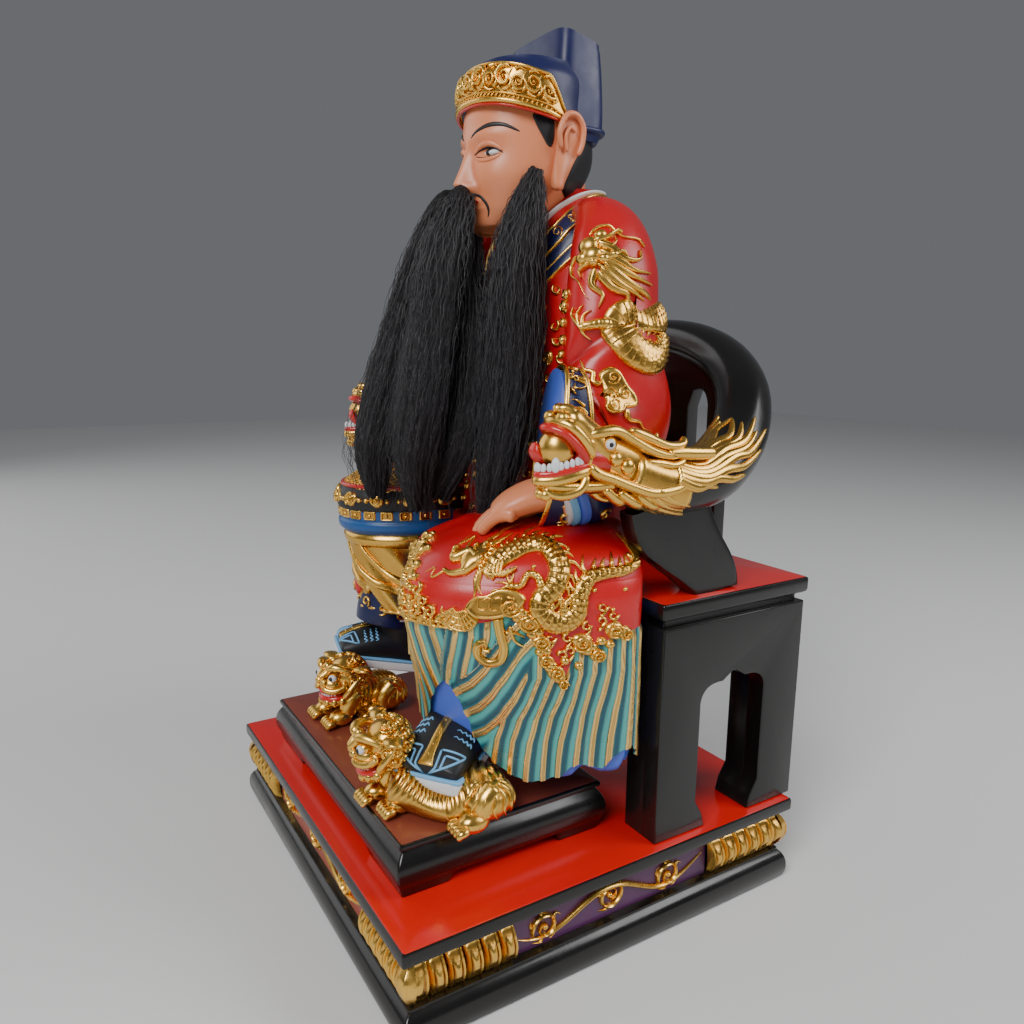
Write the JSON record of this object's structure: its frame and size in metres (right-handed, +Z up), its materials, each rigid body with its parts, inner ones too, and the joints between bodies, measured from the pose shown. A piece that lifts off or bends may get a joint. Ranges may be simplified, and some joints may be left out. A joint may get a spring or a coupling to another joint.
{
  "type": "seated deity statue",
  "caption": "Seated long-bearded deity in a relief-carved court robe on a horseshoe armchair, boots on small guardian lions, on a footstool and a gilt panelled plinth.",
  "frame": {"origin": "centre of the plinth's underside", "axes": "+Z up, the figure faces -Y, its own left is +X"},
  "size_m": [0.255, 0.25, 0.454],
  "materials": {
    "red_lacquer": "bright red gloss lacquer on carved wood, with gilt frieze and black mouldings",
    "black_lacquer": "black satin lacquer on wood, seat top red, dragon-head ends gilt",
    "painted_carving": "carved wood painted red, navy, teal and flesh, with gilt relief",
    "gold_leaf": "bright gold leaf on carved wood",
    "black_hair": "long loose black hair"
  },
  "bodies": {
    "root": {"plinth": "red_lacquer", "footstool": "black_lacquer", "chair_seat": "black_lacquer", "chair_side_left": "black_lacquer", "chair_side_right": "black_lacquer", "chair_apron_front": "black_lacquer", "chair_apron_back": "black_lacquer", "back_board": "black_lacquer", "arm_post_left": "black_lacquer", "arm_post_right": "black_lacquer", "arm_rail": "black_lacquer", "figure": "painted_carving", "lion_left": "gold_leaf", "lion_right": "gold_leaf", "moustache_left": "black_hair", "moustache_right": "black_hair", "beard_cheek_left": "black_hair", "beard_cheek_right": "black_hair", "beard_chin": "black_hair"}
  },
  "joints": []
}
